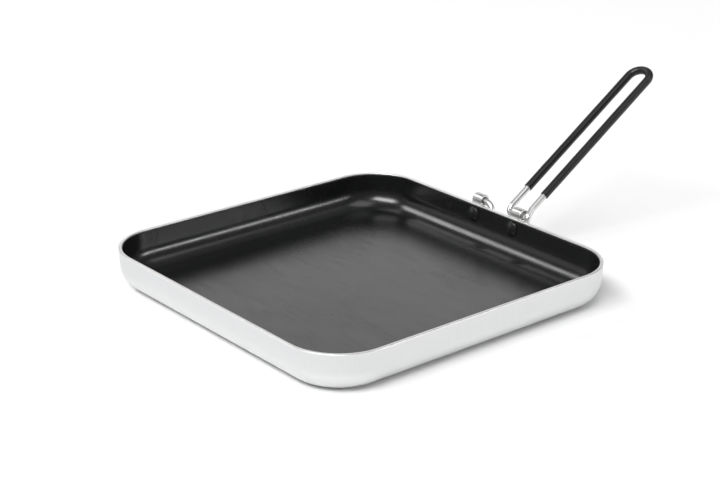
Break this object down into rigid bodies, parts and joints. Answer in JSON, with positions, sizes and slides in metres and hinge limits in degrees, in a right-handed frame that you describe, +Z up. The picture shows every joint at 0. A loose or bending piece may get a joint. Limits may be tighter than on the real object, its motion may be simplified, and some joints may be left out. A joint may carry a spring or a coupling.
{
  "type": "square frying pan with folding handle",
  "caption": "Shallow square non-stick aluminium frying pan with a sleeved wire handle that folds over the pan on two riveted clips.",
  "frame": {"origin": "centre of the flat underside of the base", "axes": "+Z up, +Y towards the wall that carries the handle and along the handle when it is out, +X along that wall"},
  "size_m": [0.25, 0.3827, 0.113],
  "materials": {
    "satin_aluminium": "satin, bare",
    "nonstick_coating": "semi-matt dark grey",
    "clip_steel": "bright rolled sheet",
    "coated_rivet": "head coated dark, tail bare",
    "wire_steel": "bright drawn wire",
    "black_rubber": "smooth, slightly glossy"
  },
  "bodies": {
    "pan": {"pan_body": "satin_aluminium", "nonstick_lining": "nonstick_coating", "left_clip": "clip_steel", "right_clip": "clip_steel", "left_rivet": "coated_rivet", "right_rivet": "coated_rivet"},
    "handle": {"handle_wire": "wire_steel", "grip_sleeve": "black_rubber"}
  },
  "joints": [
    {"name": "handle_fold", "type": "hinge", "parent": "pan", "child": "handle", "pos_m": [0, 0.12933, 0.02922], "axis": [1, 0, 0], "range_deg": [0, 138]}
  ]
}
